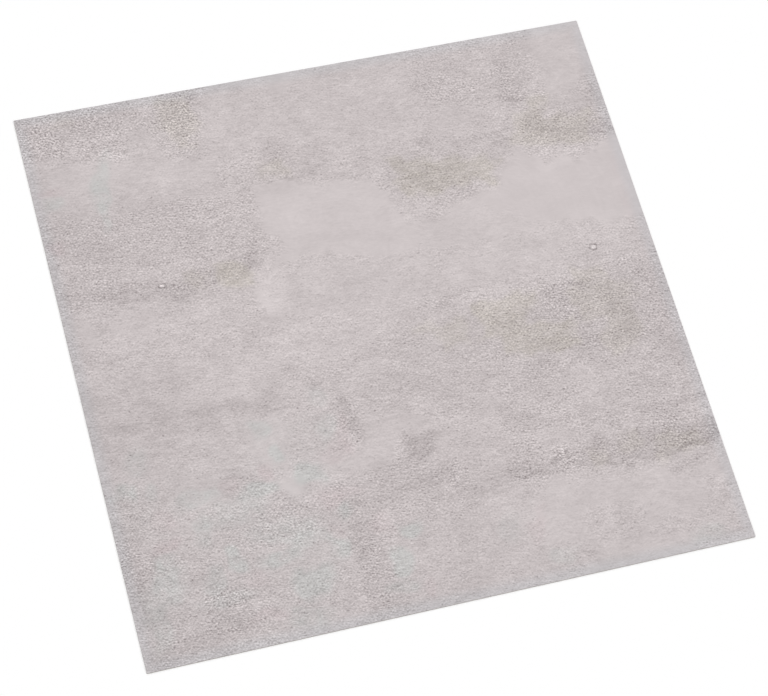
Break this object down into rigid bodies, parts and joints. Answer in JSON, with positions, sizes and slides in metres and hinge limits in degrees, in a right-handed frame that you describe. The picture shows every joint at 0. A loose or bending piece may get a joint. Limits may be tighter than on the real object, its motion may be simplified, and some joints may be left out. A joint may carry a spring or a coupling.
{
  "type": "self-adhesive vinyl floor tile",
  "caption": "Square peel-and-stick vinyl floor tile with a printed grey concrete look, lying face up on its paper release liner.",
  "frame": {"origin": "centre of the release liner's underside, on the surface that the tile lies on", "axes": "+Z out of the printed face; +X and +Y square to the cut edges, +X along the edge that is furthest from the viewer in the reference view, from left to right"},
  "size_m": [0.305, 0.305, 0.0011],
  "materials": {
    "printed_vinyl": "matte",
    "liner_paper": "matte"
  },
  "bodies": {
    "root": {"tile": "printed_vinyl", "release_liner": "liner_paper"}
  },
  "joints": []
}
